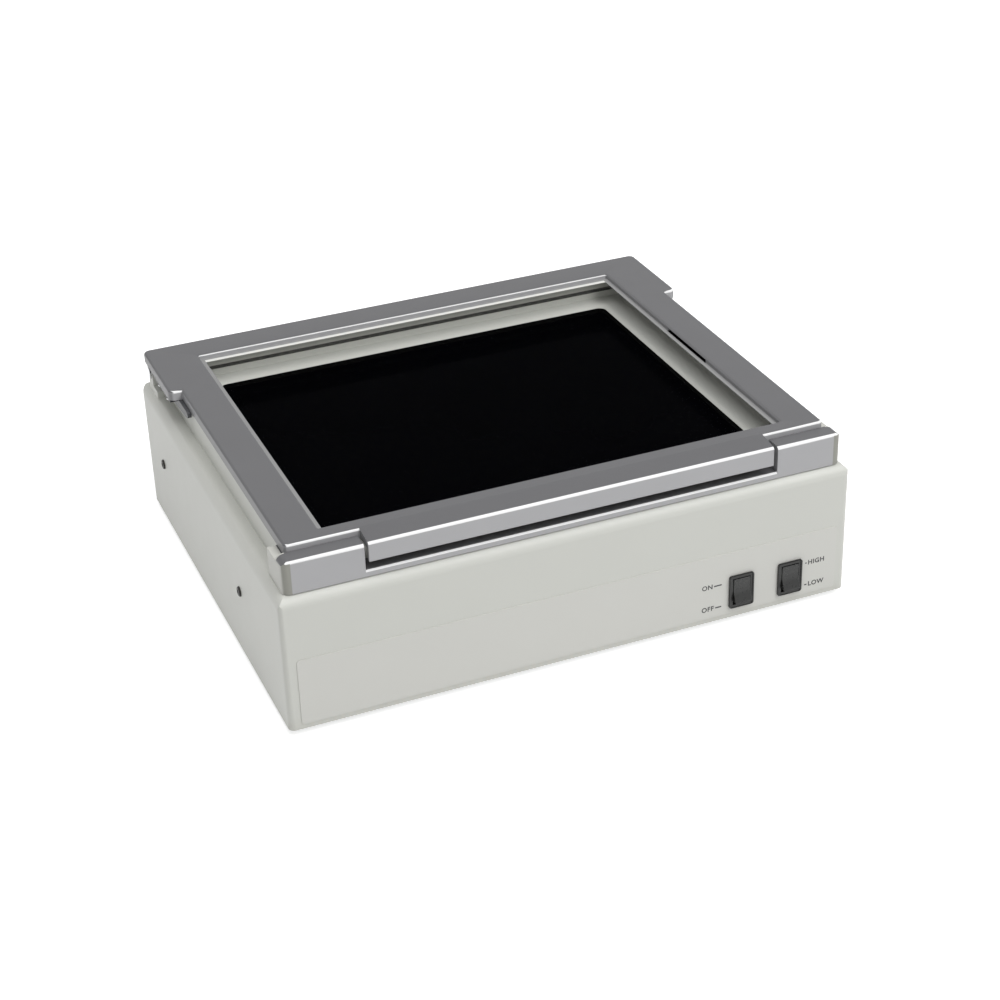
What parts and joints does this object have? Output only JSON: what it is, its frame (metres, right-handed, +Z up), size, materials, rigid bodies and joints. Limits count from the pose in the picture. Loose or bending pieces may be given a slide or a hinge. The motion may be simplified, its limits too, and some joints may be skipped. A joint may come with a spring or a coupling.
{
  "type": "uv transilluminator",
  "caption": "Bench-top ultraviolet light box: dark filter glass in a shallow well, hinged clear cover with a lifting lip, rocker switches, mains inlet with fuse drawer, cooling fan.",
  "frame": {"origin": "on the bench, under the middle of the whole instrument", "axes": "+X to the right as seen from the switches, +Y from the switches towards the mains inlet, +Z up"},
  "size_m": [0.3424, 0.2925, 0.109],
  "materials": {
    "housing_paint": "satin off-white powder coat with a very fine grain",
    "zinc_steel": "zinc-plated sheet steel, dull",
    "rubber": "black moulded rubber, matt",
    "bright_steel": "zinc-plated screws and nuts",
    "black_steel": "blackened steel screws, semi-matt",
    "panel_film": "matt printed polyester film, off-white",
    "cover_plastic": "satin cool grey moulded plastic",
    "filter_glass": "opaque black ultraviolet filter glass, polished",
    "reflector_aluminium": "bright rolled reflector sheet",
    "white_plastic": "white moulded plastic",
    "lamp_glass": "phosphor-coated lamp glass, white",
    "lamp_aluminium": "pressed lamp end caps, satin",
    "ballast_paint": "white painted steel cases",
    "black_plastic": "black moulded plastic, fine texture",
    "switch_plastic": "black switch plastic, satin",
    "brass_pins": "plated brass contacts",
    "fuse_glass": "small glass tube fuse with metal caps",
    "hinge_steel": "dark grey painted steel",
    "pin_steel": "bright turned steel",
    "nylon": "natural nylon",
    "clear_acrylic": "clear ultraviolet-blocking acrylic, polished"
  },
  "bodies": {
    "housing": {"housing_cover": "housing_paint", "base_tray": "zinc_steel", "rubber_feet": "rubber", "foot_screws": "bright_steel", "foot_nuts": "bright_steel", "side_screws": "black_steel", "side_nuts": "bright_steel", "front_film": "panel_film", "front_bezel": "cover_plastic", "bezel_screws": "bright_steel", "filter_glass": "filter_glass", "filter_gasket": "rubber", "filter_retainer": "zinc_steel", "retainer_screws": "bright_steel", "reflector": "reflector_aluminium", "reflector_screws": "bright_steel", "lamp_brackets": "zinc_steel", "lamp_holders": "white_plastic", "lamp_tubes": "lamp_glass", "lamp_caps": "lamp_aluminium", "ballasts": "ballast_paint", "ballast_screws": "bright_steel", "terminal_block": "white_plastic", "power_inlet": "black_plastic", "inlet_pins": "brass_pins", "inlet_screws": "bright_steel", "inlet_nuts": "bright_steel", "power_switch_body": "switch_plastic", "intensity_switch_body": "switch_plastic", "switch_terminals": "brass_pins", "fan_frame": "black_plastic", "fan_screws": "bright_steel", "hinge_brackets": "housing_paint", "bracket_screws": "bright_steel", "hinge_pins": "pin_steel", "hinge_washers": "nylon"},
    "lid": {"lid_frame": "cover_plastic", "lid_window": "clear_acrylic", "window_screws": "bright_steel", "hinge_arms": "hinge_steel", "arm_screws": "bright_steel"},
    "power_rocker": {"power_rocker": "switch_plastic"},
    "intensity_rocker": {"intensity_rocker": "switch_plastic"},
    "fuse_drawer": {"fuse_drawer": "black_plastic", "fuse": "fuse_glass"},
    "fan_rotor": {"fan_rotor": "black_plastic"}
  },
  "joints": [
    {"name": "lid_hinge", "type": "hinge", "parent": "housing", "child": "lid", "pos_m": [0, 0.1285, 0.098], "axis": [-1, 0, 0], "range_deg": [0, 90]},
    {"name": "power_rocker_tilt", "type": "hinge", "parent": "housing", "child": "power_rocker", "pos_m": [0.1013, -0.1395, 0.0213], "axis": [1, 0, 0], "range_deg": [0, 22]},
    {"name": "intensity_rocker_tilt", "type": "hinge", "parent": "housing", "child": "intensity_rocker", "pos_m": [0.1327, -0.1395, 0.0213], "axis": [1, 0, 0], "range_deg": [0, 22]},
    {"name": "fuse_drawer_slide", "type": "slide", "parent": "housing", "child": "fuse_drawer", "axis": [0, 1, 0], "range_m": [0, 0.018]},
    {"name": "fan_spin", "type": "hinge", "parent": "housing", "child": "fan_rotor", "pos_m": [-0.095, 0.1295, 0.045], "axis": [0, 1, 0], "continuous": true}
  ]
}
